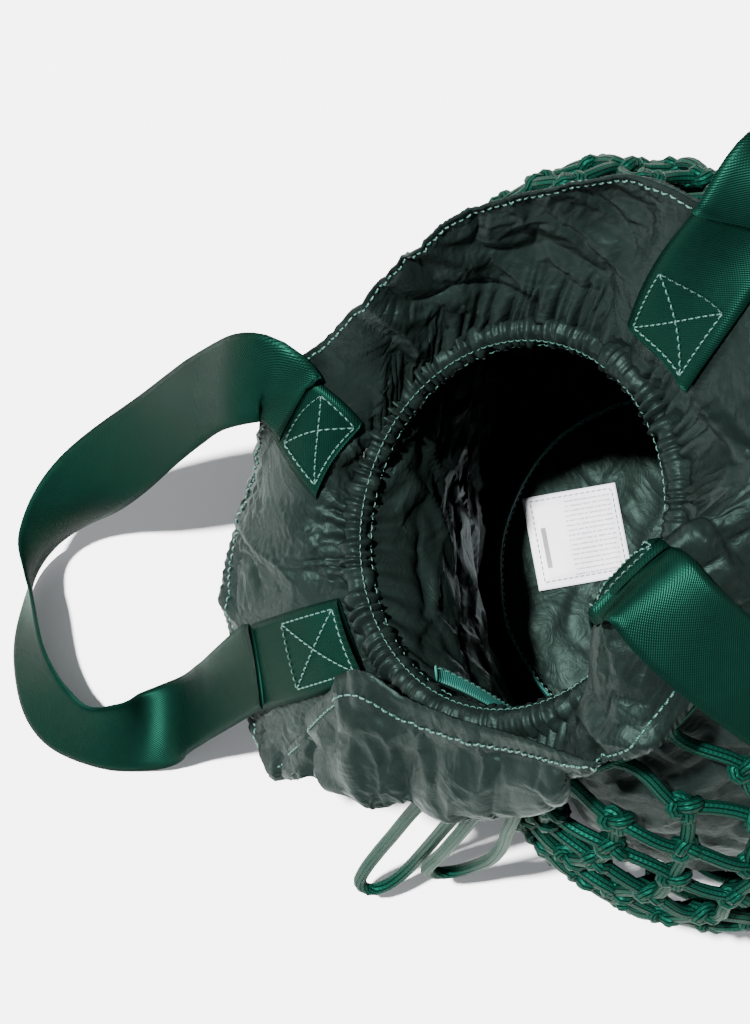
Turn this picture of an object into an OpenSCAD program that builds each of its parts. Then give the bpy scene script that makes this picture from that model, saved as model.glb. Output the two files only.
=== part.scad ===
// Soft drawstring carry bag inside a knotted cord net, with two webbing handles.
// Millimetres. Origin at the centre of the base, +Z up, mouth leaning towards -X.

/* [Bag body] */
// Diameter of the round base panel
base_d = 180; // [150:1:220]
// Thickness of the base panel
base_t = 4; // [2:0.5:6]
// Width of the slumped body across its narrow way
belly_w = 190; // [160:1:230]
// Length of the slumped body across its long way
belly_l = 290; // [250:1:340]
// Thickness of the padded cloth wall
wall_t = 3; // [2:0.5:4]

/* [Neck] */
// Diameter of the gathered neck
neck_d = 160; // [130:1:195]
// Height of the middle of the neck
neck_h = 220; // [185:1:265]
// How far the neck leans out towards -X
neck_lean = 93; // [70:1:110]
// Slope of the neck plane, low side towards -X
neck_tilt = 38; // [25:1:45]
// Outer diameter of the drawcord channel round the neck
channel_d = 14; // [12:0.5:17]

/* [Collar] */
// Depth of the collar from the neck to its hem
collar_depth = 110; // [92:1:132]
// Thickness of the collar cloth
collar_t = 3; // [2:0.5:4]

/* [Cord] */
// Diameter of the drawcord
drawcord_d = 6; // [5:0.5:7]
// Diameter of the net cord
net_cord_d = 6; // [5:0.5:7]
// Diameter of each net knot
knot_d = 15; // [12.5:0.5:18]
// Knots in each row round the net
net_around = 22; // [18:1:26]

/* [Handles] */
// Width of the handle webbing
webbing_w = 38; // [32:1:46]
// Thickness of the handle webbing
webbing_t = 2.4; // [2:0.1:3]

/* [Label and tape] */
// Width of the sewn label
label_w = 46; // [38:1:56]
// Length of the sewn label
label_l = 46; // [38:1:56]
// Width of the seam binding tape
tape_w = 10; // [8:0.5:12]

/* [Hidden] */

gap = 0.3;                 // clearance between neighbouring pieces
seam_front = 235;          // angle of the side seam under the front of the collar
seam_back = 65;            // angle of the other side seam
seam_slit = 0.25;          // half the slit left between two wall panels, degrees
collar_slit = 2.2;         // half the notch left between the two collar panels, degrees
belly_turn = 8;            // how far the long way of the body is turned from +Y
slump_at = 126;            // angle where the body slumps out furthest
slump_spread = 30;         // how many degrees to each side it reaches
slump = 0.17;              // share of the body's own radius that it adds there
foot_z = 30;               // height where the wall leaves the base sideways
shoulder_drop = 25;        // how far below the neck the wall bulges out
shoulder_shift = 10;       // shift of that bulge towards +X
neck_centre = [-neck_lean, -12, neck_h];
channel_clear = channel_d / 2 + gap + 1.2;
wall_start_r = base_d / 2 + gap + wall_t / 2;
net_rows = 11;
net_gap_foot = 17;         // net stands this far off the wall at its foot
net_gap_neck = 6.5;        // this far off at the neck
net_gap_belly = 13;        // and this much further off at the belly
net_level = 0.3;           // below this place up the wall the offset turns level
net_first = 0.12;          // place of the lowest knot row up the wall, 0 to 1
net_last = 0.84;           // place of the highest knot row

cloth = [0.20, 0.29, 0.27];
cord_green = [0.06, 0.42, 0.34];
webbing_green = [0.09, 0.33, 0.27];
tape_teal = [0.18, 0.50, 0.47];

// Collar shape: angle round the neck, then the way from the neck to the middle of
// the collar and from the neck to its hem, for a collar 110 deep.
collar_ref = 110;
COLLAR = [
    [  0.0, [ 20,   0,  56], [ 60,  -3,   36]],
    [ 22.5, [ 18,  25,  38], [ 45,  51,   60]],
    [ 45.0, [  8,  24,  42], [ 19,  44,   80]],
    [ 67.5, [  7,  26,  45], [ 19,  39,   91]],
    [ 90.0, [  6,  24,  46], [ 18,  34,   92]],
    [112.5, [  3,  24,  44], [ 13,  39,   89]],
    [135.0, [  0,  26,  42], [  8,  47,   85]],
    [150.0, [ -8,  22,  24], [-21,  38,   38]],
    [162.0, [-20,  22,  14], [-37,  43,    7]],
    [172.0, [-30,  10, -10], [-50,  21,  -56]],
    [185.0, [-36,   2, -24], [-61,   5,  -79]],
    [202.5, [-36,  -4, -34], [-61,  -4,  -96]],
    [220.0, [-38, -14, -42], [-62, -15, -104]],
    [231.0, [-40, -29, -50], [-60, -26, -100]],
    [240.0, [-31, -38, -31], [-36,  12,    0]],
    [250.0, [-27, -33, -29], [-20,   6,    8]],
    [262.0, [-15, -36, -17], [ -9,  -2,   24]],
    [274.0, [ -6, -37,  -8], [ -5,  -8,   30]],
    [287.0, [ -3, -32,   4], [  0, -20,   35]],
    [299.0, [ -8, -12,  34], [  7, -30,   40]],
    [311.0, [-14,   8,  54], [ 12, -31,   38]],
    [325.0, [-10,  12,  58], [ 19, -25,   34]],
    [342.0, [  4,   9,  58], [ 40, -18,   34]]];

// Handle route points, each with the direction across the webbing.
HANDLE_LEFT = [
    [[-197,   63, 202], [ 0.22,  0.80,  0.55]],
    [[-208,   61, 188], [ 0.15,  0.86,  0.48]],
    [[-226,   54, 152], [ 0.05,  0.90,  0.42]],
    [[-252,   46, 104], [-0.05,  0.88,  0.46]],
    [[-282,   33,  60], [-0.20,  0.60,  0.75]],
    [[-302,   16,  34], [-0.20,  0.25,  0.95]],
    [[-311,   -2,  24], [ 0.05,  0.05,  1.00]],
    [[-313,  -24,  22], [ 0.35,  0.02,  0.93]],
    [[-311,  -44,  20], [ 0.52,  0.08,  0.85]],
    [[-303,  -64,  18], [ 0.60,  0.30,  0.72]],
    [[-290,  -76,  18], [ 0.58,  0.42,  0.70]],
    [[-273,  -79,  15], [ 0.45,  0.70,  0.52]],
    [[-255,  -76,  12], [ 0.25,  0.92,  0.30]],
    [[-241,  -71,  20], [ 0.15,  0.95,  0.28]],
    [[-230,  -67,  42], [ 0.10,  0.94,  0.30]],
    [[-221,  -64,  66], [ 0.05,  0.92,  0.35]]];
HANDLE_RIGHT = [
    [[-50,  -54, 331], [ 0.85,  0.52,  0.05]],
    [[-40,  -65, 328], [ 0.84,  0.54,  0.02]],
    [[-22,  -79, 318], [ 0.78,  0.62,  0.00]],
    [[  8,  -97, 302], [ 0.62,  0.75,  0.20]],
    [[ 45, -108, 280], [ 0.36,  0.80,  0.48]],
    [[ 90, -104, 256], [ 0.00,  0.72,  0.69]],
    [[132,  -78, 238], [-0.42,  0.42,  0.80]],
    [[160,  -38, 230], [-0.62,  0.12,  0.77]],
    [[168,    8, 230], [-0.66, -0.08,  0.75]],
    [[152,   54, 240], [-0.58, -0.34,  0.74]],
    [[118,   92, 262], [-0.30, -0.62,  0.72]],
    [[ 76,  112, 294], [ 0.20, -0.78,  0.60]],
    [[ 38,  112, 322], [ 0.62, -0.68,  0.38]],
    [[ 12,  104, 340], [ 0.84, -0.53,  0.05]],
    [[ -2,   95, 345], [ 0.88, -0.46, -0.05]]];

// Slack drawcord bights: out of the channel, down past the front and back into it.
LOOP_1 = [[-111, -96, 198], [-115, -103, 187], [-120, -110, 171], [-126, -116, 147],
    [-133, -122, 117], [-140, -129, 86], [-147, -136, 60], [-153, -143, 38],
    [-155, -148, 25], [-150, -151, 20], [-141, -148, 23], [-133, -142, 33],
    [-126, -135, 53], [-120, -129, 82], [-115, -124, 114], [-111, -120, 144],
    [-109, -115, 170], [-108, -108, 188], [-105, -99, 203]];
LOOP_2 = [[-97, -100, 210], [-98, -108, 204], [-101, -116, 191], [-105, -123, 170],
    [-110, -129, 142], [-115, -134, 112], [-119, -138, 84], [-123, -141, 62],
    [-124, -143, 47], [-119, -144, 39], [-110, -143, 40], [-102, -141, 52],
    [-96, -139, 74], [-93, -136, 100], [-92, -133, 126], [-92, -130, 152],
    [-91, -127, 174], [-90, -123, 192], [-90, -117, 204], [-90, -109, 212], [-90, -101, 215]];

// ---- plain maths ----
function unit(v) = v / norm(v);
function wrap(a) = a - 360 * floor(a / 360);
function spline(a, b, c, d, t) = 0.5 * (2 * b + (c - a) * t
    + (2 * a - 5 * b + 4 * c - d) * t * t + (3 * b - a - 3 * c + d) * t * t * t);
// A smooth open line through points, k steps a span
function smooth_line(p, k) = let(n = len(p)) [
    for (i = [0:n - 2]) for (s = [0:k - 1])
        spline(p[max(i - 1, 0)], p[i], p[i + 1], p[min(i + 2, n - 1)], s / k),
    p[n - 1]];
function tangent(p, i) = unit(p[min(i + 1, len(p) - 1)] - p[max(i - 1, 0)]);

// ---- the bag's surfaces ----
function neck_point(a) = neck_centre + neck_d / 2
    * [cos(a) * cos(neck_tilt), sin(a), cos(a) * sin(neck_tilt)];
// The way v, square to the neck ring at angle a, made one long
function off_ring(v, a) = let(t = [-sin(a) * cos(neck_tilt), cos(a), -sin(a) * sin(neck_tilt)])
    unit(v - t * (v * t));
function slump_share(a) = 1 + slump * exp(-pow((wrap(a) - slump_at) / slump_spread, 2));
function belly_point(a, z) = let(b = a - belly_turn,
        u = belly_w / 2 * cos(b) * slump_share(a), v = belly_l / 2 * sin(b) * slump_share(a))
    [u * cos(belly_turn) - v * sin(belly_turn), u * sin(belly_turn) + v * cos(belly_turn), z];
// Wall: a cubic from the base edge, out over the belly and up to the neck
function wall_point(a, t) = let(
        top = neck_point(a),
        foot = [wall_start_r * cos(a), wall_start_r * sin(a), wall_t / 2],
        low = belly_point(a, 0) * 1.2 + [0, 0, foot_z],
        high = belly_point(a, top[2] - shoulder_drop) + [shoulder_shift, 0, 0],
        end = top + channel_clear * off_ring(high - top, a), s = 1 - t)
    foot * s * s * s + low * 3 * s * s * t + high * 3 * s * t * t + end * t * t * t;
function wall_normal(a, t) = unit(cross(
    wall_point(a + 1, t) - wall_point(a - 1, t),
    wall_point(a, min(t + 0.02, 1)) - wall_point(a, max(t - 0.02, 0))));
// Net: off the wall along its normal, level near the foot, and never in the floor
function net_point(a, t, low) = let(n = wall_normal(a, t),
        off = net_gap_foot + (net_gap_neck - net_gap_foot) * t + net_gap_belly * sin(180 * t),
        p = wall_point(a, t) + off * unit([n[0], n[1], n[2] < 0 ? n[2] * min(t / net_level, 1) : n[2]]))
    [p[0], p[1], max(p[2], low)];
function inside_point(a, t, d) = wall_point(a, t) - (wall_t / 2 + d) * wall_normal(a, t);

function collar_span(a, i = 0) = i + 1 >= len(COLLAR) || COLLAR[i + 1][0] > a ? i : collar_span(a, i + 1);
function collar_way(a, column) = let(
        n = len(COLLAR), w = wrap(a), i = collar_span(w),
        from = COLLAR[i][0], to = i + 1 < n ? COLLAR[i + 1][0] : 360)
    spline(COLLAR[(i + n - 1) % n][column], COLLAR[i][column], COLLAR[(i + 1) % n][column],
        COLLAR[(i + 2) % n][column], (w - from) / (to - from)) * collar_depth / collar_ref;
// Collar: a parabola through the neck, the middle and the hem
function collar_point(a, t) = let(
        start = neck_point(a) + channel_clear * off_ring(collar_way(a, 1), a),
        middle = neck_point(a) + collar_way(a, 1),
        hem = neck_point(a) + collar_way(a, 2))
    start * (1 - t) * (1 - 2 * t) + middle * 4 * t * (1 - t) + hem * t * (2 * t - 1);

// ---- solids ----
// A closed slab of thickness t about a grid of points
module slab(g, t) {
    nu = len(g);
    nv = len(g[0]);
    function across(i, j) = g[min(i + 1, nu - 1)][j] - g[max(i - 1, 0)][j];
    function along(i, j) = g[i][min(j + 1, nv - 1)] - g[i][max(j - 1, 0)];
    faces_of = [for (side = [1, -1]) for (i = [0:nu - 1]) for (j = [0:nv - 1])
        g[i][j] + side * t / 2 * unit(cross(across(i, j), along(i, j)))];
    n = nu * nv;
    function at(i, j) = i * nv + j;
    rim = concat([for (i = [0:nu - 1]) at(i, 0)], [for (j = [1:nv - 1]) at(nu - 1, j)],
        [for (i = [nu - 2:-1:0]) at(i, nv - 1)], [for (j = [nv - 2:-1:1]) at(0, j)]);
    polyhedron(faces_of, concat(
        [for (i = [0:nu - 2]) for (j = [0:nv - 2]) each [
            [at(i, j), at(i, j + 1), at(i + 1, j + 1)], [at(i, j), at(i + 1, j + 1), at(i + 1, j)],
            [n + at(i, j), n + at(i + 1, j + 1), n + at(i, j + 1)],
            [n + at(i, j), n + at(i + 1, j), n + at(i + 1, j + 1)]]],
        [for (k = [0:len(rim) - 1]) let(a = rim[k], b = rim[(k + 1) % len(rim)]) each [
            [a, b, n + b], [a, n + b, n + a]]]));
}
// A tube about a line of points, open-ended with flat ends, or joined into a ring
module tube(p, d, side, ring = false, sides = 8) {
    n = len(p);
    function way(i) = ring ? unit(p[(i + 1) % n] - p[(i + n - 1) % n]) : tangent(p, i);
    function turn(i, k) = let(u = unit(cross(way(i), side)), v = cross(way(i), u))
        u * cos(k * 360 / sides) + v * sin(k * 360 / sides);
    points = [for (i = [0:n - 1]) for (k = [0:sides - 1]) p[i] + d / 2 * turn(i, k)];
    function at(i, k) = (i % n) * sides + k % sides;
    polyhedron(points, concat(
        [for (i = [0:(ring ? n - 1 : n - 2)]) for (k = [0:sides - 1]) each [
            [at(i, k), at(i + 1, k + 1), at(i, k + 1)], [at(i, k), at(i + 1, k), at(i + 1, k + 1)]]],
        ring ? [] : [[for (k = [0:sides - 1]) at(0, k)], [for (k = [sides - 1:-1:0]) at(n - 1, k)]]));
}
module rod(a, b, d) {
    v = b - a;
    translate(a) rotate([0, acos(v[2] / norm(v)), atan2(v[1], v[0])]) cylinder(d = d, h = norm(v), $fn = 24);
}
// A strap of webbing along route points, each with its own way across
module strap(route, k = 2) {
    middle = smooth_line([for (r = route) r[0]], k);
    width = smooth_line([for (r = route) r[1]], k);
    slab([for (i = [0:len(middle) - 1]) let(w = unit(width[i] - tangent(middle, i) * (width[i] * tangent(middle, i))))
        [for (s = [-1, 0, 1]) middle[i] + s * webbing_w / 2 * w]], webbing_t);
}
// A sewn strap end that follows the inner face of the collar, from t0 to t1 at angle a
module collar_tab(a, t0, t1) {
    lift = collar_t / 2 + webbing_t / 2 + 2 * gap;
    steps = 6;
    function inward(b, t) = -unit(cross(collar_point(b + 2, t) - collar_point(b - 2, t),
        collar_point(b, min(t + 0.03, 1)) - collar_point(b, t - 0.03)));
    function per_degree(t) = norm(collar_point(a + 3, t) - collar_point(a - 3, t)) / 6;
    slab([for (i = [0:steps]) let(t = t0 + (t1 - t0) * i / steps, half = webbing_w / 2 / per_degree(t))
        [for (s = [-1:0.5:1]) collar_point(a + s * half, t) + lift * inward(a + s * half, t)]], webbing_t);
}

// ---- sub-parts ----
module base_panel() {
    color(cloth) cylinder(d = base_d, h = base_t, $fn = 96);
}
module base_binding() {
    tape_t = 2;
    outer = base_d / 2 - gap;
    color(tape_teal) translate([0, 0, base_t + gap]) difference() {
        cylinder(r = outer, h = tape_w, $fn = 96);
        translate([0, 0, -1]) cylinder(r = outer - tape_t, h = tape_w + 2, $fn = 96);
    }
}
module wall(a0, a1) {
    around = 24;
    up = 10;
    color(cloth) slab([for (i = [0:around]) [for (j = [0:up])
        wall_point(a0 + seam_slit + (a1 - a0 - 2 * seam_slit) * i / around, j / up)]], wall_t);
}
module wall_left() { wall(seam_back, seam_front); }
module wall_right() { wall(seam_front, seam_back + 360); }
// Binding tape standing on the inside of a side seam
module seam_binding(a) {
    tape_t = 2;
    up = 10;
    t0 = 0.12;
    t1 = 0.95;
    line = [for (i = [0:up]) inside_point(a, t0 + (t1 - t0) * i / up, tape_t / 2 + gap + 1.2)];
    color(tape_teal) slab([for (i = [0:up]) let(t = t0 + (t1 - t0) * i / up,
            w = unit(cross(wall_normal(a, t), tangent(line, i))))
        [for (s = [-1, 1]) line[i] + s * tape_w / 2 * w]], tape_t);
}
module seam_binding_front() { seam_binding(seam_front - 12); }
module seam_binding_back() { seam_binding(seam_back); }
module care_label() {
    label_t = 1;
    color("white") translate([-50, 19, base_t + gap]) rotate([0, 0, 10])
        translate([-label_w / 2, -label_l / 2, 0]) cube([label_w, label_l, label_t]);
}
module neck_frame() {
    translate(neck_centre) rotate([0, -neck_tilt, 0]) children();
}
module neck_channel() {
    color(cloth) neck_frame() rotate_extrude($fn = 96) translate([neck_d / 2, 0]) difference() {
        circle(d = channel_d, $fn = 32);
        circle(d = drawcord_d + 2 * gap + 1, $fn = 32);
    }
}
module drawcord() {
    color(cord_green) neck_frame() rotate_extrude($fn = 96) translate([neck_d / 2, 0])
        circle(d = drawcord_d, $fn = 24);
}
module drawcord_loop(route) {
    color(cord_green) tube(smooth_line(route, 3), drawcord_d, [0.75, -0.66, 0]);
}
module drawcord_loop_1() { drawcord_loop(LOOP_1); }
module drawcord_loop_2() { drawcord_loop(LOOP_2); }
module collar(a0, a1) {
    around = 34;
    up = 6;
    color(cloth) slab([for (i = [0:around]) [for (j = [0:up])
        collar_point(a0 + collar_slit + (a1 - a0 - 2 * collar_slit) * i / around, j / up)]], collar_t);
}
module collar_left() { collar(seam_back, seam_front); }
module collar_right() { collar(seam_front, seam_back + 360); }
module handle_left_tabs() {
    color(webbing_green) {
        collar_tab(161, 0.25, 0.87);
        collar_tab(208, 0.20, 0.87);
    }
}
module handle_left() { color(webbing_green) strap(HANDLE_LEFT); }
module handle_right_tabs() {
    color(webbing_green) {
        collar_tab(35, 0.20, 0.96);
        collar_tab(322, 0.14, 0.52);
    }
}
module handle_right() { color(webbing_green) strap(HANDLE_RIGHT); }

// ---- the net ----
function row_t(row) = net_first + (net_last - net_first) * (row - 1) / (net_rows - 1);
function knot_at(row, i) = net_point((i + (row % 2) / 2) * 360 / net_around, row_t(row), knot_d / 2 + gap);
ring_t = net_last + 0.10;  // place of the top ring up the wall
function ring_point(t, i) = net_point(i * 180 / net_around, t, net_cord_d / 2 + gap);
module net_ring(t) {
    color(cord_green) tube([for (i = [0:2 * net_around - 1]) ring_point(t, i)], net_cord_d, [0.01, 0.02, 1], ring = true);
}
module net_base_ring() { net_ring(0); }
module net_top_ring() { net_ring(ring_t); }
module net_knots(row) {
    color(cord_green) for (i = [0:net_around - 1]) translate(knot_at(row, i)) sphere(d = knot_d, $fn = 24);
}
// One span of cord between two places, stopping short of what is at each end
module leg(a, b, clear_a, clear_b) {
    way = unit(b - a);
    rod(a + way * clear_a, b - way * clear_b, net_cord_d);
}
module net_cords(row) {
    knot_clear = knot_d / 2 + gap;
    ring_clear = net_cord_d / 2 + gap + 2.3;
    shift = row % 2;
    color(cord_green) for (i = [0:net_around - 1]) for (step = [0, 1])
        if (row > 1 && row <= net_rows)
            leg(knot_at(row - 1, i), knot_at(row, i + step - shift), knot_clear, knot_clear);
        else if (step == 0)
            if (row == 1)
                leg(ring_point(0, 2 * i + 1), knot_at(1, i), ring_clear, knot_clear);
            else
                leg(knot_at(net_rows, i), ring_point(ring_t, 2 * i + 1), knot_clear, ring_clear);
}
module net_knots_1() { net_knots(1); }
module net_knots_2() { net_knots(2); }
module net_knots_3() { net_knots(3); }
module net_knots_4() { net_knots(4); }
module net_knots_5() { net_knots(5); }
module net_knots_6() { net_knots(6); }
module net_knots_7() { net_knots(7); }
module net_knots_8() { net_knots(8); }
module net_knots_9() { net_knots(9); }
module net_knots_10() { net_knots(10); }
module net_knots_11() { net_knots(11); }
module net_cords_1() { net_cords(1); }
module net_cords_2() { net_cords(2); }
module net_cords_3() { net_cords(3); }
module net_cords_4() { net_cords(4); }
module net_cords_5() { net_cords(5); }
module net_cords_6() { net_cords(6); }
module net_cords_7() { net_cords(7); }
module net_cords_8() { net_cords(8); }
module net_cords_9() { net_cords(9); }
module net_cords_10() { net_cords(10); }
module net_cords_11() { net_cords(11); }
module net_cords_12() { net_cords(12); }

base_panel();
base_binding();
wall_left();
wall_right();
seam_binding_front();
seam_binding_back();
care_label();
neck_channel();
drawcord();
drawcord_loop_1();
drawcord_loop_2();
collar_left();
collar_right();
handle_left_tabs();
handle_left();
handle_right_tabs();
handle_right();
net_base_ring();
net_top_ring();
net_knots_1();
net_knots_2();
net_knots_3();
net_knots_4();
net_knots_5();
net_knots_6();
net_knots_7();
net_knots_8();
net_knots_9();
net_knots_10();
net_knots_11();
net_cords_1();
net_cords_2();
net_cords_3();
net_cords_4();
net_cords_5();
net_cords_6();
net_cords_7();
net_cords_8();
net_cords_9();
net_cords_10();
net_cords_11();
net_cords_12();
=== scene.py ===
import logging
from dataclasses import dataclass, field
from enum import Enum

import bpy
import numpy as np
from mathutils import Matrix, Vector


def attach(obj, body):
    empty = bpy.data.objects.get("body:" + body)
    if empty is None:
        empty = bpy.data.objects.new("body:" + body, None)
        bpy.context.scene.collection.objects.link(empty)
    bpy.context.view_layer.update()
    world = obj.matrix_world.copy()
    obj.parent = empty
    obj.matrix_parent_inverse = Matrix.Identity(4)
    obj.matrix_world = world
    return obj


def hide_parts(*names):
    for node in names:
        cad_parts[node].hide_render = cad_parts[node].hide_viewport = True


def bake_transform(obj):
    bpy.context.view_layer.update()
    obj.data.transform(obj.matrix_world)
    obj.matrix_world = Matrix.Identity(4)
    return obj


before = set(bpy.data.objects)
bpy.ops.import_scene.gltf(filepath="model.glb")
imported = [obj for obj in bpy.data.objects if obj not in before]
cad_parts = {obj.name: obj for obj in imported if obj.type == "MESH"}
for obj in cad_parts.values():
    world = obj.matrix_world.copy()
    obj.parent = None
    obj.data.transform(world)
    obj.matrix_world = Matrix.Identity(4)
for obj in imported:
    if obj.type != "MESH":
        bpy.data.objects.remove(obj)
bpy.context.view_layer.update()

LOG = logging.getLogger("rope_bag")
MM = 0.001
Array = np.ndarray


# ---------------------------------------------------------------- plain maths
def unit(v: Array) -> Array:
    """Each vector divided by its own length."""
    return v / np.maximum(np.linalg.norm(v, axis=-1, keepdims=True), 1e-12)


def smooth_line(points: Array, steps: int) -> Array:
    """A Catmull-Rom curve through points.

    Each span is the cubic 0.5(2b + (c-a)t + (2a-5b+4c-d)t^2 + (3b-a-3c+d)t^3).

    Args:
        points: (n, k) values to pass through.
        steps: pieces a span is cut into.

    Returns:
        ((n - 1) * steps + 1, k) values.
    """
    p = np.asarray(points, float)
    q = np.concatenate([p[:1], p, p[-1:]])
    a, b, c, d = (q[i : i + len(p) - 1, None] for i in range(4))
    t = (np.arange(steps) / steps)[None, :, None]
    s = 0.5 * (2 * b + (c - a) * t + (2 * a - 5 * b + 4 * c - d) * t**2
               + (3 * b - a - 3 * c + d) * t**3)
    return np.concatenate([s.reshape(-1, p.shape[1]), p[-1:]])


def lengths(line: Array) -> Array:
    """The way travelled from the start of a line to each of its points."""
    step = np.linalg.norm(np.diff(line, axis=0), axis=-1)
    return np.concatenate([[0.0], np.cumsum(step)])


def even(line: Array, count: int, *others: Array) -> list[Array]:
    """The line, and any values that go with it, at equal distances along it.

    Args:
        line: (n, 3) points.
        count: how many points come back.
        others: (n, k) values at the same points.

    Returns:
        The new line and the new values.
    """
    far = lengths(line)
    at = np.linspace(0, far[-1], count)
    return [np.stack([np.interp(at, far, v[:, k]) for k in range(v.shape[1])], -1)
            for v in (line, *others)]


@dataclass(frozen=True)
class Ripple:
    """Smooth seeded noise in space: a mean of sine waves of one rough length."""

    wave: float
    seed: int
    count: int = 14

    def __call__(self, p: Array) -> Array:
        """The value, about -1 to 1, at points p (..., 3).

        It is the sum of sin(k.p + phase) over random directions k of length 2 pi / wave.
        """
        rng = np.random.default_rng(self.seed)
        way = unit(rng.normal(size=(self.count, 3)))
        k = way * (2 * np.pi / (self.wave * rng.uniform(0.7, 1.5, (self.count, 1))))
        phase = rng.uniform(0, 2 * np.pi, self.count)
        return np.sin(p @ k.T + phase).sum(-1) / np.sqrt(self.count) * 0.9

    def crease(self, p: Array) -> Array:
        """Sharp ridges, 0 to 1, where the noise passes through nought."""
        return np.clip(1 - np.abs(self(p)) * 1.6, 0, 1)


# ---------------------------------------------------------------- mesh making
@dataclass
class Sewing:
    """Faces of one mesh, gathered from grids of points."""

    verts: list[Array] = field(default_factory=list)
    loops: list[Array] = field(default_factory=list)
    sizes: list[Array] = field(default_factory=list)
    uvs: list[Array] = field(default_factory=list)
    count: int = 0

    def grid(self, p: Array, uv: Array, close_u: bool = False, close_v: bool = False,
             caps: bool = False, flip: bool = False) -> "Sewing":
        """Adds one grid, or a batch of grids that share a layout.

        Args:
            p: (nu, nv, 3) or (k, nu, nv, 3) points.
            uv: (nu + close_u, nv + close_v, 2) map in metres, or one for each of a batch.
            close_u: whether the last row joins the first.
            close_v: whether the last column joins the first.
            caps: whether the two end rows are closed by a face.
            flip: whether the faces are turned over.

        Returns:
            This object, so that calls can be chained.
        """
        p = p if p.ndim == 4 else p[None]
        k, nu, nv = p.shape[:3]
        uv = np.broadcast_to(uv if uv.ndim == 4 else uv[None], (k, nu + close_u, nv + close_v, 2))
        i, j = np.meshgrid(np.arange(nu - 1 + close_u), np.arange(nv - 1 + close_v), indexing="ij")
        corners = [(i, j), (i + 1, j), (i + 1, j + 1), (i, j + 1)]
        if flip:
            corners = corners[::-1]
        quad = np.stack([(a % nu) * nv + b % nv for a, b in corners], -1).reshape(-1)
        start = self.count + np.arange(k)[:, None] * nu * nv
        self.loops.append((start + quad).reshape(-1))
        self.sizes.append(np.full(k * len(quad) // 4, 4))
        self.uvs.append(np.stack([uv[:, a, b] for a, b in corners], -2).reshape(-1, 2))
        if caps:
            ring = np.arange(nv)
            ends = [ring[::-1], (nu - 1) * nv + ring]
            for end, row in zip(ends, (0, -1)):
                loop = end if not flip else end[::-1]
                self.loops.append((start + loop).reshape(-1))
                self.sizes.append(np.full(k, nv))
                self.uvs.append(np.repeat(uv[:, row, 0], nv, axis=0))
        self.verts.append(p.reshape(-1, 3))
        self.count += k * nu * nv
        return self

    def make(self, name: str) -> bpy.types.Object:
        """A smooth mesh object of everything gathered, at the origin.

        Args:
            name: the piece's name.

        Returns:
            The new object, in the scene.
        """
        verts, loops = np.concatenate(self.verts), np.concatenate(self.loops)
        sizes, uvs = np.concatenate(self.sizes), np.concatenate(self.uvs)
        mesh = bpy.data.meshes.new(name)
        mesh.vertices.add(len(verts))
        mesh.vertices.foreach_set("co", verts.astype(np.float32).ravel())
        mesh.loops.add(len(loops))
        mesh.loops.foreach_set("vertex_index", loops.astype(np.int32))
        mesh.polygons.add(len(sizes))
        first = np.concatenate([[0], np.cumsum(sizes)[:-1]])
        mesh.polygons.foreach_set("loop_start", first.astype(np.int32))
        mesh.update(calc_edges=True)
        layer = mesh.uv_layers.new(name="UVMap")
        layer.data.foreach_set("uv", uvs.astype(np.float32).ravel())
        mesh.polygons.foreach_set("use_smooth", np.ones(len(sizes), bool))
        mesh.validate()
        obj = bpy.data.objects.new(name, mesh)
        bpy.context.scene.collection.objects.link(obj)
        return obj


def tube(path: Array, radius: Array | float, sides: int, hint: Array,
         ring: bool = False) -> tuple[Array, Array]:
    """A round tube about one path or a batch of paths.

    Each point of the surface is path + radius (cos f side + sin f up), where side is square
    to the path and to hint, and up is square to both.

    Args:
        path: (..., n, 3) centreline.
        radius: one radius, or (..., n) radii.
        sides: points around.
        hint: (..., n, 3) or (3,) direction that is never along the path.
        ring: whether the path is closed.

    Returns:
        (..., n, sides, 3) points, and a (..., n + ring, sides + 1, 2) map of metres along
        and turns around.
    """
    if ring:
        way = unit(np.roll(path, -1, -2) - np.roll(path, 1, -2))
    else:
        way = unit(np.gradient(path, axis=-2))
    side = unit(np.cross(way, np.broadcast_to(hint, path.shape)))
    up = np.cross(side, way)
    f = np.arange(sides) / sides * 2 * np.pi
    r = np.broadcast_to(np.asarray(radius, float), path.shape[:-1])[..., None, None]
    p = path[..., None, :] + r * (np.cos(f)[:, None] * side[..., None, :]
                                  + np.sin(f)[:, None] * up[..., None, :])
    step = np.linalg.norm(np.diff(path, axis=-2, append=path[..., :1, :]), axis=-1)
    along = np.concatenate([np.zeros(step.shape[:-1] + (1,)), np.cumsum(step, -1)], -1)
    along = along if ring else along[..., :-1]
    around = np.linspace(0, 1, sides + 1)
    uv = np.stack(np.broadcast_arrays(along[..., None], around), -1)
    return p, uv


def stitches(line: Array, normal: Array, pitch: float = 3.4 * MM,
             size: float = 0.42 * MM) -> tuple[Array, Array]:
    """A run of thread stitches that lie along a line on a surface.

    Each stitch is a small spindle: its centreline dips into the cloth at both ends, as
    lift = size (1 - 1.7 s^2) for s from -1 to 1, and its radius is size sqrt(1 - 0.8 s^2).

    Args:
        line: (n, 3) points on the surface.
        normal: (n, 3) directions out of the surface.
        pitch: distance from stitch to stitch.
        size: radius of the thread.

    Returns:
        (k, 5, 6, 3) points and their map.
    """
    count = max(int(lengths(line)[-1] / pitch), 2)
    ends, outs = even(line, count * 10 + 1, normal)
    take = (np.arange(count)[:, None] * 10 + np.array([1, 3, 5, 7, 9])[None]).ravel()
    s = np.array([-1, -0.5, 0, 0.5, 1])
    path = ends[take].reshape(count, 5, 3)
    out = unit(outs[take].reshape(count, 5, 3))
    path = path + out * (size * (1 - 1.7 * s**2))[None, :, None]
    return tube(path, np.broadcast_to(size * np.sqrt(1 - 0.8 * s**2), (count, 5)), 6, out)


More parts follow.
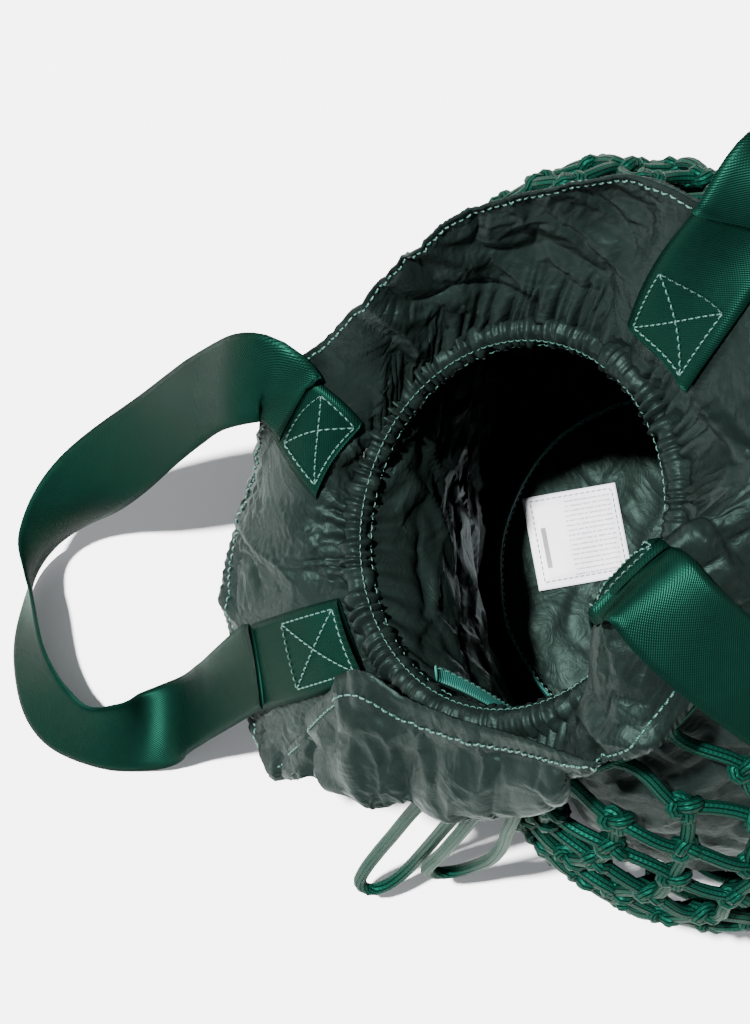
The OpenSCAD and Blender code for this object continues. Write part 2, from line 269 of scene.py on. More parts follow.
def sew(obj: bpy.types.Object, finish: "Finish", body: str, *nodes: str) -> bpy.types.Object:
    """Dresses a piece, puts it on its body and hides the CAD nodes that it stands for.

    Args:
        obj: the piece.
        finish: its material.
        body: the body that it rides on, or an empty string where it is left unattached.
        nodes: the CAD nodes that it replaces.

    Returns:
        The same piece.
    """
    obj.data.materials.append(finish.material())
    if body:
        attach(obj, body)
    if nodes:
        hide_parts(*nodes)
    LOG.info("%s: %d faces", obj.name, len(obj.data.polygons))
    return obj


# ---------------------------------------------------------------- shader maths
class Val:
    """A socket of a material, on which shader maths is written as Python."""

    def __init__(self, paint: "Paint", socket: bpy.types.NodeSocket) -> None:
        """Keeps the socket and the material that it belongs to."""
        self.paint, self.socket = paint, socket

    def _do(self, operation: str, a: object, b: object, c: object = None) -> "Val":
        """A Math node on two or three values or links."""
        sockets = {0: a, 1: b} if c is None else {0: a, 1: b, 2: c}
        return self.paint.node("ShaderNodeMath", {"operation": operation}, sockets)

    def __add__(self, other: object) -> "Val":
        """self + other."""
        return self._do("ADD", self, other)

    __radd__ = __add__

    def __mul__(self, other: object) -> "Val":
        """self * other."""
        return self._do("MULTIPLY", self, other)

    __rmul__ = __mul__

    def __sub__(self, other: object) -> "Val":
        """self - other."""
        return self._do("SUBTRACT", self, other)

    def __rsub__(self, other: object) -> "Val":
        """other - self."""
        return self._do("SUBTRACT", other, self)

    def __abs__(self) -> "Val":
        """Its size without its sign."""
        return self._do("ABSOLUTE", self, 0)

    def __gt__(self, other: object) -> "Val":
        """1 where self is larger, else 0."""
        return self._do("GREATER_THAN", self, other)

    def __lt__(self, other: object) -> "Val":
        """1 where self is smaller, else 0."""
        return self._do("LESS_THAN", self, other)

    def sin(self) -> "Val":
        """Its sine."""
        return self._do("SINE", self, 0)

    def wave(self, period: float) -> "Val":
        """A sine wave that repeats once a period, -1 to 1."""
        return (self * (2 * np.pi / period)).sin()

    def clip(self) -> "Val":
        """Itself held between 0 and 1."""
        return self._do("MINIMUM", self._do("MAXIMUM", self, 0.0), 1.0)

    def zigzag(self, period: float) -> "Val":
        """A wave of straight lines, 0 to 1 and back, once a period."""
        return self._do("PINGPONG", self, period / 2) * (2 / period)

    def step(self, low: float, high: float) -> "Val":
        """A smooth 0 to 1 as self goes from low to high."""
        return self.paint.node("ShaderNodeMapRange", {"interpolation_type": "SMOOTHSTEP"},
                               {"Value": self, "From Min": low, "From Max": high})

    def blend(self, a: object, b: object) -> "Val":
        """Colour a where self is 0 and colour b where it is 1."""
        return self.paint.node("ShaderNodeMix", {"data_type": "RGBA"}, {0: self, 6: a, 7: b}, 2)


class Paint:
    """One material and the nodes in it."""

    def __init__(self, name: str) -> None:
        """Starts the material with its Principled shader."""
        self.material = bpy.data.materials.new(name)
        self.material.use_nodes = True
        self.tree = self.material.node_tree
        self.shader = self.tree.nodes["Principled BSDF"]

    def node(self, kind: str, settings: dict | None = None, sockets: dict | None = None,
             out: int | str = 0) -> Val:
        """Any node.

        Args:
            kind: the node's type.
            settings: its settings, set first.
            sockets: values or links of its sockets, by name or number.
            out: the output that comes back.

        Returns:
            That output, wrapped.
        """
        node = self.tree.nodes.new(kind)
        for key, value in (settings or {}).items():
            setattr(node, key, value)
        for key, value in (sockets or {}).items():
            if isinstance(value, Val):
                self.tree.links.new(value.socket, node.inputs[key])
            else:
                node.inputs[key].default_value = value
        return Val(self, node.outputs[out])

    def object_place(self) -> Val:
        """Object coordinates, in metres."""
        return self.node("ShaderNodeTexCoord", out="Object")

    def cloth_map(self) -> tuple[Val, Val]:
        """The two numbers of the piece's own map."""
        uv = self.node("ShaderNodeUVMap", {"uv_map": "UVMap"})
        split = self.node("ShaderNodeSeparateXYZ", {}, {0: uv})
        return split, Val(self, split.socket.node.outputs[1])

    def noise(self, place: Val, scale: float, detail: float = 3, rough: float = 0.5,
              warp: float = 0.0) -> Val:
        """Noise in space, about 0 to 1."""
        return self.node("ShaderNodeTexNoise", {}, {"Vector": place, "Scale": scale, "Detail": detail,
                                                    "Roughness": rough, "Distortion": warp})

    def bump(self, height: Val, depth: float, strength: float = 1.0, under: Val | None = None) -> Val:
        """A Bump node on a height from 0 to 1 that is depth metres deep."""
        sockets = {"Height": height, "Distance": depth, "Strength": strength}
        if under is not None:
            sockets["Normal"] = under
        return self.node("ShaderNodeBump", {}, sockets)

    def finish(self, **values: object) -> bpy.types.Material:
        """Sets the shader's sockets, by name with _ for a space, and returns the material."""
        for key, value in values.items():
            socket = self.shader.inputs[key.replace("_", " ")]
            if isinstance(value, Val):
                self.tree.links.new(value.socket, socket)
            else:
                socket.default_value = value
        return self.material


Colour = tuple[float, float, float, float]


def shade(hexed: str) -> Colour:
    """A display colour such as 1c5044 as the linear colour that a shader takes."""
    c = np.array([int(hexed[i : i + 2], 16) / 255 for i in (0, 2, 4)])
    c = np.where(c <= 0.04045, c / 12.92, ((c + 0.055) / 1.055) ** 2.4)
    return (*c.tolist(), 1.0)


@dataclass(frozen=True)
class Finish:
    """What a material of the bag has in common with the others."""

    name: str
    slot: str

    def material(self) -> bpy.types.Material:
        """The material, built once."""
        return bpy.data.materials.get(self.name) or self.build(Paint(self.name))

    def build(self, paint: Paint) -> bpy.types.Material:
        """Builds the nodes and returns the material."""
        raise NotImplementedError


@dataclass(frozen=True)
class Nylon(Finish):
    """Thin crinkled nylon: fine weave, small creases and a soft satin gloss."""

    light: str = "141d1b"
    dark: str = "060a09"
    rough: float = 0.40
    thread: float = 0.52 * MM

    def build(self, paint: Paint) -> bpy.types.Material:
        """Creases are thin lines where warped noise crosses a half, over a plain weave; the colour is also
        painted lighter along them, a painted highlight on their ridges.
        """
        at = paint.object_place()
        u, v = paint.cloth_map()
        big = 1 - (abs(paint.noise(at, 26, 3, 0.55, 0.9) - 0.5) * 9).clip()
        fine = 1 - (abs(paint.noise(at, 85, 3, 0.6, 1.3) - 0.5) * 7).clip()
        soft = paint.noise(at, 60, 4, 0.6, 0.5)
        weave = u.wave(self.thread) * v.wave(self.thread) * 0.5 + 0.5
        cloud = paint.noise(at, 9, 4, 0.6)
        # the crease masks add to the tone, so the crease ridges are painted lighter: painted highlight; cloud
        # is tone that differs at random
        tone = (cloud * 0.75 + fine * 0.12 + big * 0.10 + weave * 0.10).clip()
        colour = tone.blend(shade(self.dark), shade(self.light))
        height = big * 0.7 + fine * 0.16 + soft * 0.4
        normal = paint.bump(weave, 0.00005, 0.35, paint.bump(height, 0.0010, 0.6))
        rough = self.rough + cloud * 0.14 - fine * 0.05 + weave * 0.05
        return paint.finish(Base_Color=colour, Roughness=rough, Normal=normal, Metallic=0.30,
                            Specular_IOR_Level=0.15, Specular_Tint=shade("9cc4b8"))


@dataclass(frozen=True)
class Webbing(Finish):
    """Satin webbing in a fine diagonal twill, with closer selvages."""

    light: str = "0a2820"
    dark: str = "051813"
    twill: float = 1.05 * MM
    yarn: float = 0.6 * MM
    width: float = 38 * MM

    def build(self, paint: Paint) -> bpy.types.Material:
        """Twill lines run where along + 0.8 across is a whole number of pitches."""
        at = paint.object_place()
        u, v = paint.cloth_map()
        lines = (u + v * 0.8).wave(self.twill) * 0.5 + 0.5
        yarns = u.wave(self.yarn) * 0.5 + 0.5
        edge = abs(v - self.width / 2).step(self.width * 0.44, self.width * 0.485)
        cloud = paint.noise(at, 30, 4, 0.65)
        streak = paint.noise(at, 220, 2, 0.5)
        tone = (lines * 0.55 + cloud * 0.35 + streak * 0.2 - edge * 0.18).clip()
        colour = tone.blend(shade(self.dark), shade(self.light))
        normal = paint.bump(lines * 0.75 + yarns * 0.25, 0.00022, 0.55)
        rough = 0.36 + streak * 0.10 + edge * 0.12 + lines * 0.06
        return paint.finish(Base_Color=colour, Roughness=rough, Normal=normal, Metallic=0.75,
                            Specular_IOR_Level=0.15, Specular_Tint=shade("3f8f78"))


@dataclass(frozen=True)
class Cord(Finish):
    """Round braided cord: plaited strands in rows that run along it, with painted shade in the grooves
    between the rows.
    """

    light: str = "09352b"
    # dark is the colour of the painted shade in the grooves between rows
    dark: str = "020b08"
    strands: int = 9
    pitch: float = 2.1 * MM

    def build(self, paint: Paint) -> bpy.types.Material:
        """Each row is a chevron: along + half a pitch of zigzag across the row; the grooves between rows are
        painted dark, as painted shade.
        """
        at = paint.object_place()
        u, v = paint.cloth_map()
        row = (v * float(self.strands)).zigzag(1.0)
        strand = (u + row * self.pitch * 0.55).wave(self.pitch) * 0.5 + 0.5
        valley_and_shade = row.step(0.02, 0.42)
        cloud = paint.noise(at, 40, 3, 0.6)
        # the tone falls to the dark colour in the grooves between rows: painted shade
        tone = (valley_and_shade * (strand * 0.28 + cloud * 0.25 + 0.5)).clip()
        colour = tone.blend(shade(self.dark), shade(self.light))
        normal = paint.bump(strand * 0.25 + valley_and_shade, 0.00050, 0.9)
        rough = 0.42 + strand * 0.08 + cloud * 0.10
        return paint.finish(Base_Color=colour, Roughness=rough, Normal=normal,
                            Metallic=0.55, Specular_IOR_Level=0.15, Specular_Tint=shade("3f9f84"))


@dataclass(frozen=True)
class RibTape(Finish):
    """Ribbed binding tape: close ribs across its length."""

    light: str = "1d5f57"
    dark: str = "0b2f2a"
    rib: float = 1.1 * MM

    def build(self, paint: Paint) -> bpy.types.Material:
        """Ribs are a sine along the tape, with uneven dye."""
        u, _ = paint.cloth_map()
        rib = u.wave(self.rib) * 0.5 + 0.5
        cloud = paint.noise(paint.object_place(), 45, 4, 0.6)
        colour = (rib * 0.5 + cloud * 0.5).clip().blend(shade(self.dark), shade(self.light))
        return paint.finish(Base_Color=colour, Roughness=0.5 + cloud * 0.2,
                            Normal=paint.bump(rib, 0.0003, 0.7), Specular_IOR_Level=0.3)


@dataclass(frozen=True)
class Thread(Finish):
    """Twisted sewing thread."""

    light: str = "2a554d"
    dark: str = "112c27"

    def build(self, paint: Paint) -> bpy.types.Material:
        """A twist runs round the thread as it goes along."""
        u, v = paint.cloth_map()
        twist = ((u * (2 * np.pi / 0.0009)) + v * (2 * np.pi)).sin() * 0.5 + 0.5
        return paint.finish(Base_Color=twist.blend(shade(self.dark), shade(self.light)),
                            Roughness=0.38 + twist * 0.1, Normal=paint.bump(twist, 0.0001, 0.5))


@dataclass(frozen=True)
class LabelSatin(Finish):
    """White satin label with plain bars and dashes in place of print."""

    white: str = "b9bac2"
    ink: str = "1c1c20"
    thread: float = 0.50 * MM

    def build(self, paint: Paint) -> bpy.types.Material:
        """Rows of broken bars fill the two lower thirds, and one bar stands alone above."""
        at = paint.object_place()
        u, v = paint.cloth_map()
        weave = u.wave(self.thread) * v.wave(self.thread) * 0.5 + 0.5
        rows = (v.zigzag(0.0024) < 0.34) * (v > 0.004) * (v < 0.042)
        cell = paint.node("ShaderNodeCombineXYZ", {}, {0: u * 900.0, 1: v * (1 / 0.0024), 2: 3.0})
        broken = paint.noise(cell, 1.0, 1, 0.5) > 0.44
        body = (u > 0.019) * (u < 0.042)
        bar = (u > 0.0062) * (u < 0.0086) * (v > 0.010) * (v < 0.030)
        ink = (rows * broken * body * 0.55 + bar * 0.9).clip()
        colour = ink.blend(shade(self.white), shade(self.ink))
        crumple = paint.noise(at, 70, 2, 0.5, 0.4)
        return paint.finish(Base_Color=colour, Roughness=0.42 + weave * 0.1,
                            Normal=paint.bump(weave, 0.00004, 0.4, paint.bump(crumple, 0.0006, 0.5)))


@dataclass(frozen=True)
class Backdrop(Finish):
    """Plain pale paper for the floor."""

    def build(self, paint: Paint) -> bpy.types.Material:
        """A faint mottle on white."""
        cloud = paint.noise(paint.object_place(), 3, 3, 0.5)
        return paint.finish(Base_Color=cloud.blend(shade("f4f4f7"), shade("f8f8fb")), Roughness=0.9)


NYLON = Nylon("crinkled nylon", "shell_fabric")
WEBBING = Webbing("satin webbing", "webbing")
CORD = Cord("braided cord", "cord")
TAPE = RibTape("ribbed tape", "binding_tape")
THREAD = Thread("thread", "shell_fabric")
LABEL = LabelSatin("label satin", "label")


# ---------------------------------------------------------------- the bag's form
def turn(a: Array) -> tuple[Array, Array]:
    """The cosine and sine of angles in degrees."""
    return np.cos(np.radians(a)), np.sin(np.radians(a))


@dataclass(frozen=True)
class BagForm:
    """The surfaces that every piece of the bag is measured from, in metres and degrees."""

    base_r: float = 90 * MM
    rim_r: float = 91.6 * MM
    wall_t: float = 3 * MM
    belly: tuple[float, float] = (95 * MM, 145 * MM)
    belly_turn: float = 8
    slump: float = 0.17
    slump_at: float = 126
    slump_spread: float = 30
    neck_r: float = 80 * MM
    neck_tilt: float = 38
    neck_centre: tuple[float, float, float] = (-93 * MM, -12 * MM, 220 * MM)
    channel_clear: float = 4.2 * MM
    foot_z: float = 30 * MM
    shoulder_drop: float = 25 * MM
    shoulder_shift: float = 10 * MM
    collar_rows: tuple[tuple[float, ...], ...] = (
        (0, 20, 0, 56, 60, -3, 36), (22.5, 18, 25, 38, 45, 51, 60), (45, 8, 24, 42, 19, 44, 80),
        (67.5, 7, 26, 45, 19, 39, 91), (90, 6, 24, 46, 18, 34, 92), (112.5, 3, 24, 44, 13, 39, 89),
        (135, 0, 26, 42, 8, 47, 85), (150, -8, 22, 24, -21, 38, 38), (162, -20, 22, 14, -37, 43, 7),
        (172, -30, 10, -10, -50, 21, -56), (185, -36, 2, -24, -61, 5, -79),
        (202.5, -36, -4, -34, -61, -4, -96), (220, -38, -14, -42, -62, -15, -104),
        (231, -40, -29, -50, -60, -26, -100), (240, -31, -38, -31, -36, 12, 0),
        (250, -27, -33, -29, -20, 6, 8), (262, -15, -36, -17, -9, -2, 24),
        (274, -6, -37, -8, -5, -8, 30), (287, -3, -32, 4, 0, -20, 35), (299, -8, -12, 34, 7, -30, 40),
        (311, -14, 8, 54, 12, -31, 38), (325, -10, 12, 58, 19, -25, 34), (342, 4, 9, 58, 40, -18, 34))

    def neck(self, a: Array) -> Array:
        """The neck ring: its centre plus its radius times (cos a cos tilt, sin a, cos a sin tilt)."""
        c, s = turn(a)
        ct, st = turn(self.neck_tilt)
        return np.array(self.neck_centre) + self.neck_r * np.stack([c * ct, s, c * st], -1)

    def off_ring(self, v: Array, a: Array) -> Array:
        """Directions v made square to the neck ring at angles a, and one long."""
        c, s = turn(a)
        ct, st = turn(self.neck_tilt)
        t = np.stack([-s * ct, c, -s * st], -1)
        return unit(v - t * (v * t).sum(-1, keepdims=True))

    def belly_at(self, a: Array, z: Array) -> Array:
        """The widest ellipse, turned from +Y, at heights z."""
        c, s = turn(a - self.belly_turn)
        ct, st = turn(self.belly_turn)
        share = 1 + self.slump * np.exp(-((np.mod(a, 360) - self.slump_at) / self.slump_spread) ** 2)
        u, v = self.belly[0] * c * share, self.belly[1] * s * share
        return np.stack([u * ct - v * st, u * st + v * ct, np.broadcast_to(z, u.shape)], -1)

    def wall(self, a: Array, t: Array) -> Array:
        """The wall: a Bezier cubic from the base's edge over the belly to the neck."""
        a, t = np.broadcast_arrays(np.asarray(a, float), np.asarray(t, float))
        c, s = turn(a)
        r = self.base_r + 0.3 * MM + self.wall_t / 2
        top = self.neck(a)
        foot = np.stack([r * c, r * s, np.full(a.shape, self.wall_t / 2)], -1)
        low = self.belly_at(a, 0 * a) * 1.2 + np.array([0, 0, self.foot_z])
        high = self.belly_at(a, top[..., 2] - self.shoulder_drop) + np.array([self.shoulder_shift, 0, 0])
        end = top + self.channel_clear * self.off_ring(high - top, a)
        t = t[..., None]
        s = 1 - t
        return foot * s**3 + 3 * low * s * s * t + 3 * high * s * t * t + end * t**3

    def wall_normal(self, a: Array, t: Array) -> Array:
        """Outward normals of the wall, from the cross product of small steps along it."""
        a, t = np.broadcast_arrays(np.asarray(a, float), np.asarray(t, float))
        up = self.wall(a, np.minimum(t + 0.02, 1)) - self.wall(a, np.maximum(t - 0.02, 0))
        return unit(np.cross(self.wall(a + 1, t) - self.wall(a - 1, t), up))

    def way(self, a: Array, column: int) -> Array:
        """A column of the collar's table, smooth and closed round the neck."""
        rows = np.array(self.collar_rows)
        at, p = rows[:, 0], rows[:, 1 + 3 * column : 4 + 3 * column] * MM
        n, w = len(rows), np.mod(a, 360)
        i = np.searchsorted(at, w, side="right") - 1
        end = np.where(i + 1 < n, at[(i + 1) % n], 360.0)
        t = ((w - at[i]) / (end - at[i]))[..., None]
        p0, p1, p2, p3 = (p[(i + k) % n] for k in (-1, 0, 1, 2))
        return 0.5 * (2 * p1 + (p2 - p0) * t + (2 * p0 - 5 * p1 + 4 * p2 - p3) * t**2
                      + (3 * p1 - p0 - 3 * p2 + p3) * t**3)

    def collar(self, a: Array, t: Array) -> Array:
        """The collar: a parabola through the neck, the middle and the hem."""
        a, t = np.broadcast_arrays(np.asarray(a, float), np.asarray(t, float))
        neck, mid, hem = self.neck(a), self.way(a, 0), self.way(a, 1)
        start = neck + self.channel_clear * self.off_ring(mid, a)
        t = t[..., None]
        return start * (1 - t) * (1 - 2 * t) + (neck + mid) * 4 * t * (1 - t) + (neck + hem) * t * (2 * t - 1)

    def collar_inward(self, a: Array, t: Array) -> Array:
        """Normals of the collar that point to the inside of the bag."""
        a, t = np.broadcast_arrays(np.asarray(a, float), np.asarray(t, float))
        up = self.collar(a, np.minimum(t + 0.03, 1)) - self.collar(a, t - 0.03)
        return -unit(np.cross(self.collar(a + 2, t) - self.collar(a - 2, t), up))


FORM = BagForm()


@dataclass(frozen=True)
class Drape:
    """A cloth simulation that lets a sheet buckle into soft creases where it is held."""

    grow: float = 0.05
    frames: int = 16
    cap: float = 6 * MM
    bend: float = 0.8
    stiff: float = 12.0

    def run(self, obj: bpy.types.Object, held: Array) -> None:
        """Simulates the sheet and puts the result in its mesh.

        Args:
            obj: the sheet, a plain open grid.
            held: how firmly each vertex is held, from 0 to 1.
        """
        mesh = obj.data
        n = len(mesh.vertices)
        start = np.empty(n * 3, np.float32)
        mesh.vertices.foreach_get("co", start)
        group = obj.vertex_groups.new(name="held")
        level = np.round(held * 10).astype(int)
        for step in range(1, 11):
            group.add(np.flatnonzero(level == step).tolist(), step / 10, "REPLACE")
        cloth = obj.modifiers.new("Cloth", "CLOTH")
        cloth.settings.quality = 4
        cloth.settings.mass = 0.12
        cloth.settings.tension_stiffness = self.stiff
        cloth.settings.compression_stiffness = self.stiff
        cloth.settings.shear_stiffness = self.stiff / 3
        cloth.settings.bending_stiffness = self.bend
        cloth.settings.air_damping = 4
        cloth.settings.vertex_group_mass = "held"
        cloth.settings.pin_stiffness = 1.0
        cloth.settings.shrink_min = -self.grow
        cloth.settings.effector_weights.gravity = 0
        cloth.collision_settings.use_self_collision = False
        cloth.point_cache.frame_start, cloth.point_cache.frame_end = 1, self.frames
        for at in range(1, self.frames + 1):
            bpy.context.scene.frame_set(at)
        baked = obj.evaluated_get(bpy.context.evaluated_depsgraph_get())
        end = np.empty(n * 3, np.float32)
        baked.data.vertices.foreach_get("co", end)
        obj.modifiers.remove(cloth)
        obj.vertex_groups.remove(group)
        bpy.context.scene.frame_set(1)
        move = (end - start).reshape(-1, 3)
        far = np.linalg.norm(move, axis=1, keepdims=True)
        if not np.isfinite(move).all():
            LOG.warning("%s: the simulation failed and is left out", obj.name)
            return
        move *= self.cap * np.tanh(far / self.cap) / np.maximum(far, 1e-9)
        mesh.vertices.foreach_set("co", (start + move.ravel()).astype(np.float32))
        mesh.update()
        LOG.info("%s: cloth moved up to %.1f mm", obj.name, far.max() * 1000)


def thicken(obj: bpy.types.Object, t: float) -> None:
    """Gives a sheet its thickness, about its middle."""
    solid = obj.modifiers.new("Thickness", "SOLIDIFY")
    solid.thickness, solid.offset = t, 0.0


# ---------------------------------------------------------------- camera and studio
@dataclass(frozen=True)
class Studio:
    """The floor, the lights and the camera."""

    target: tuple[float, float, float] = (-0.148, 0.032, 0.0)
    distance: float = 1.29
    elevation: float = 80.0
    lens: float = 93.06
    to_key: tuple[float, float, float] = (-0.31, 0.03, 0.95)
    key: float = 21.0
    fill: float = 0.55

    def camera(self) -> None:
        """A long lens that looks down from the front."""
        c, s = turn(self.elevation)
        data = bpy.data.cameras.new("camera")
        data.lens = self.lens
        obj = bpy.data.objects.new("camera", data)
        bpy.context.scene.collection.objects.link(obj)
        obj.location = Vector(self.target) + self.distance * Vector((0, -c, s))
        obj.rotation_euler = (Vector(self.target) - obj.location).to_track_quat("-Z", "Y").to_euler()
        bpy.context.scene.camera = obj

    def lights(self) -> None:
        """One hard lamp from the left and a pale room."""
        lamp = bpy.data.lights.new("key", "SUN")
        lamp.energy, lamp.angle, lamp.color = self.key, 0.05, (1.0, 0.985, 0.96)
        obj = bpy.data.objects.new("key", lamp)
        bpy.context.scene.collection.objects.link(obj)
        obj.rotation_euler = (-Vector(self.to_key)).to_track_quat("-Z", "Y").to_euler()
        world = bpy.data.worlds.new("room")
        world.use_nodes = True
        world.node_tree.nodes["Background"].inputs[0].default_value = (0.97, 0.985, 1.0, 1.0)
        world.node_tree.nodes["Background"].inputs[1].default_value = self.fill
        bpy.context.scene.world = world

    def floor(self) -> None:
        """A wide pale sheet under the bag."""
        x = np.linspace(-2.5, 2.5, 3)
        p = np.stack([*np.meshgrid(x, x, indexing="ij"), np.zeros((3, 3))], -1)
        obj = Sewing().grid(p, p[..., :2]).make("floor")
        obj.data.materials.append(Backdrop("pale paper", "shell_fabric").material())


# ---------------------------------------------------------------- cords
@dataclass(frozen=True)
class Drawcord:
    """The cord in the neck channel, which shows as two slack bights at the front."""

    thick: float = 6 * MM
    sides: int = 12
    loop_1: tuple[tuple[float, ...], ...] = (
        (-111, -96, 198), (-115, -103, 187), (-120, -110, 171), (-126, -116, 147), (-133, -122, 117),
        (-140, -129, 86), (-147, -136, 60), (-153, -143, 38), (-155, -148, 25), (-150, -151, 20),
        (-141, -148, 23), (-133, -142, 33), (-126, -135, 53), (-120, -129, 82), (-115, -124, 114),
        (-111, -120, 144), (-109, -115, 170), (-108, -108, 188), (-105, -99, 203))
    loop_2: tuple[tuple[float, ...], ...] = (
        (-97, -100, 210), (-98, -108, 204), (-101, -116, 191), (-105, -123, 170), (-110, -129, 142),
        (-115, -134, 112), (-119, -138, 84), (-123, -141, 62), (-124, -143, 47), (-119, -144, 39),
        (-110, -143, 40), (-102, -141, 52), (-96, -139, 74), (-93, -136, 100), (-92, -133, 126),
        (-92, -130, 152), (-91, -127, 174), (-90, -123, 192), (-90, -117, 204), (-90, -109, 212),
        (-90, -101, 215))

    def build(self) -> None:
        """Makes both bights and dresses the ring that the channel hides."""
        for name, route in (("drawcord_loop_1", self.loop_1), ("drawcord_loop_2", self.loop_2)):
            path = smooth_line(np.array(route) * MM, 6)
            path = even(path, 110)[0]
            p, uv = tube(path, self.thick / 2, self.sides, np.array([0.75, -0.66, 0.0]))
            obj = Sewing().grid(p, uv, close_v=True, caps=True, flip=True).make(name + "_cord")
            sew(obj, CORD, "bag", name)
        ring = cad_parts["drawcord"]
        ring.data.materials.clear()
        ring.data.materials.append(CORD.material())


# ---------------------------------------------------------------- shell of the bag
@dataclass(frozen=True)
class Body:
    """The nylon wall with its side-seam bindings, and the round base with its label."""

    around: int = 300
    up: int = 96
    seams: tuple[float, float] = (65.0, 235.0)
    seam_tape: float = 10 * MM
    skin: float = 0.9 * MM
    pleats: int = 46
    label: tuple[float, float] = (46 * MM, 46 * MM)
    label_at: tuple[float, float] = (-50 * MM, 19 * MM)
    label_turn: float = 10

    def wall(self) -> None:
        """The wall as one closed ring of cloth, with pleats that fade below the neck.

        Each point moves along the wall's normal by creases, a slow swell, and the pleats
        sin(pleats a + wander) that grow as t^10.
        """
        a, t = np.meshgrid(np.linspace(0, 360, self.around, endpoint=False),
                           np.linspace(0, 1, self.up), indexing="ij")
        p, n = FORM.wall(a, t), FORM.wall_normal(a, t)
        wander = Ripple(60 * MM, 5)(p * np.array([1, 1, 0.2])) * 3
        pleat = np.sin(np.radians(a) * self.pleats + wander) * t**10 * 1.6 * MM
        hold = np.minimum(1, t * 6) * np.minimum(1, (1 - t) * 8)
        crease = (Ripple(70 * MM, 11).crease(p) * 3.0 - Ripple(34 * MM, 12).crease(p) * 1.6) * MM
        swell = Ripple(90 * MM, 13)(p) * 2.0 * MM
        seam = np.minimum.reduce([np.abs(np.mod(a - s + 180, 360) - 180) for s in self.seams])
        pull = -np.exp(-((seam / 2.5) ** 2)) * 2.0 * MM
        p = p + n * (pleat - 1.0 * MM * t**10 + (crease + swell + pull) * hold)[..., None]
        r = FORM.base_r * 1.25
        uv = np.stack([np.radians(np.linspace(0, 360, self.around + 1))[:, None] * r
                       + 0 * t[:1], np.broadcast_to(t[:1] * 0.33, (self.around + 1, self.up))], -1)
        obj = Sewing().grid(p, uv, close_u=True).make("nylon_wall")
        held = np.clip(np.maximum(1 - t * 14, 1 - (1 - t) * 18), 0.12, 1)
        Drape(grow=0.035, cap=5 * MM, frames=14).run(obj, held.ravel())
        thicken(obj, self.skin)
        sew(obj, NYLON, "bag", "wall_left", "wall_right")

    def base(self) -> None:
        """The base: a round of nylon with slow wrinkles in its upper face, closed all round.

        The profile runs from the middle of the top to the rim and back underneath.
        """
        r = np.concatenate([np.linspace(0.2 * MM, FORM.rim_r - 1 * MM, 46), [FORM.rim_r] * 3,
                            np.linspace(FORM.rim_r - 1 * MM, 0.2 * MM, 8)])
        z = np.concatenate([np.full(46, 4 * MM), np.array([3.4, 2, 0.6]) * MM, np.zeros(8)])
        a = np.linspace(0, 360, 160, endpoint=False)
        c, s = turn(a)
        p = np.stack([c[:, None] * r, s[:, None] * r, 0 * c[:, None] + z], -1)
        top = np.concatenate([np.ones(46), np.zeros(11)]) * np.clip((FORM.rim_r - r) / (20 * MM), 0, 1)
        rise = Ripple(60 * MM, 21).crease(p) * 0.6 - Ripple(26 * MM, 22).crease(p) * 1.1 - 0.5
        p[..., 2] += np.clip(rise, -2.2, 0.2) * MM * top
        uv = np.stack([p[..., 0], p[..., 1]], -1)
        uv = np.concatenate([uv, uv[:1]])
        obj = Sewing().grid(p, uv, close_u=True).make("base_round")
        sew(obj, NYLON, "bag", "base_panel")

    def tape(self, name: str, line: Array, across: Array, out: Array, node: str,
             closed: bool = False) -> None:
        """A folded binding tape with a run of stitches on it.

        Its section is a flat loop, half a width to each side and a fold of 1.1 mm thick.

        Args:
            name: the piece's name.
            line: (n, 3) middle of the tape.
            across: (n, 3) directions across it.
            out: (n, 3) directions out of its face.
            node: the CAD node that it replaces.
            closed: whether the line is a ring.
        """
        f = np.arange(12) / 12 * 2 * np.pi
        x = np.sign(np.cos(f)) * np.abs(np.cos(f)) ** 0.5 * self.seam_tape / 2
        y = np.sign(np.sin(f)) * np.abs(np.sin(f)) ** 0.7 * 0.9 * MM
        p = line[:, None] + across[:, None] * x[:, None] + out[:, None] * y[:, None]
        far = np.append(lengths(line), lengths(line)[-1] + np.linalg.norm(line[-1] - line[0]))
        far = far if closed else far[:-1]
        uv = np.stack(np.broadcast_arrays(far[:, None], np.append(f, 2 * np.pi) * 3 * MM), -1)
        work = Sewing().grid(p, uv, close_u=closed, close_v=True, caps=not closed)
        obj = sew(work.make(name), TAPE, "bag", node)
        path = line + out * 1.0 * MM + across * 2.2 * MM
        run = Sewing().grid(*stitches(path, out), close_v=True, caps=True)
        sew(run.make(name + "_stitches"), THREAD, "bag")
        LOG.debug("%s is bound", obj.name)

    def bindings(self) -> None:
        """The ring of tape round the base and the two tapes up the side seams."""
        a = np.linspace(0, 360, 140, endpoint=False)
        c, s = turn(a)
        r = FORM.base_r - 1.6 * MM + Ripple(40 * MM, 31)(np.stack([c, s, 0 * c], -1) * 0.09) * 0.5 * MM
        line = np.stack([c * r, s * r, np.full(a.shape, 9.4 * MM)], -1)
        inward = -np.stack([c, s, 0 * c], -1)
        self.tape("base_tape", line, np.broadcast_to([0.0, 0.0, 1.0], line.shape), inward,
                  "base_binding", closed=True)
        for name, at in (("front", self.seams[1] - 12), ("back", self.seams[0])):
            t = np.linspace(0.12, 0.95, 70)
            normal = FORM.wall_normal(np.full(70, at), t)
            line = FORM.wall(np.full(70, at), t) - normal * 4 * MM
            sway = Ripple(50 * MM, 33)(line)[:, None] * 0.8 * MM
            across = unit(np.cross(normal, np.gradient(line, axis=0)))
            self.tape(f"seam_tape_{name}", line + across * sway, across, -normal, f"seam_binding_{name}")

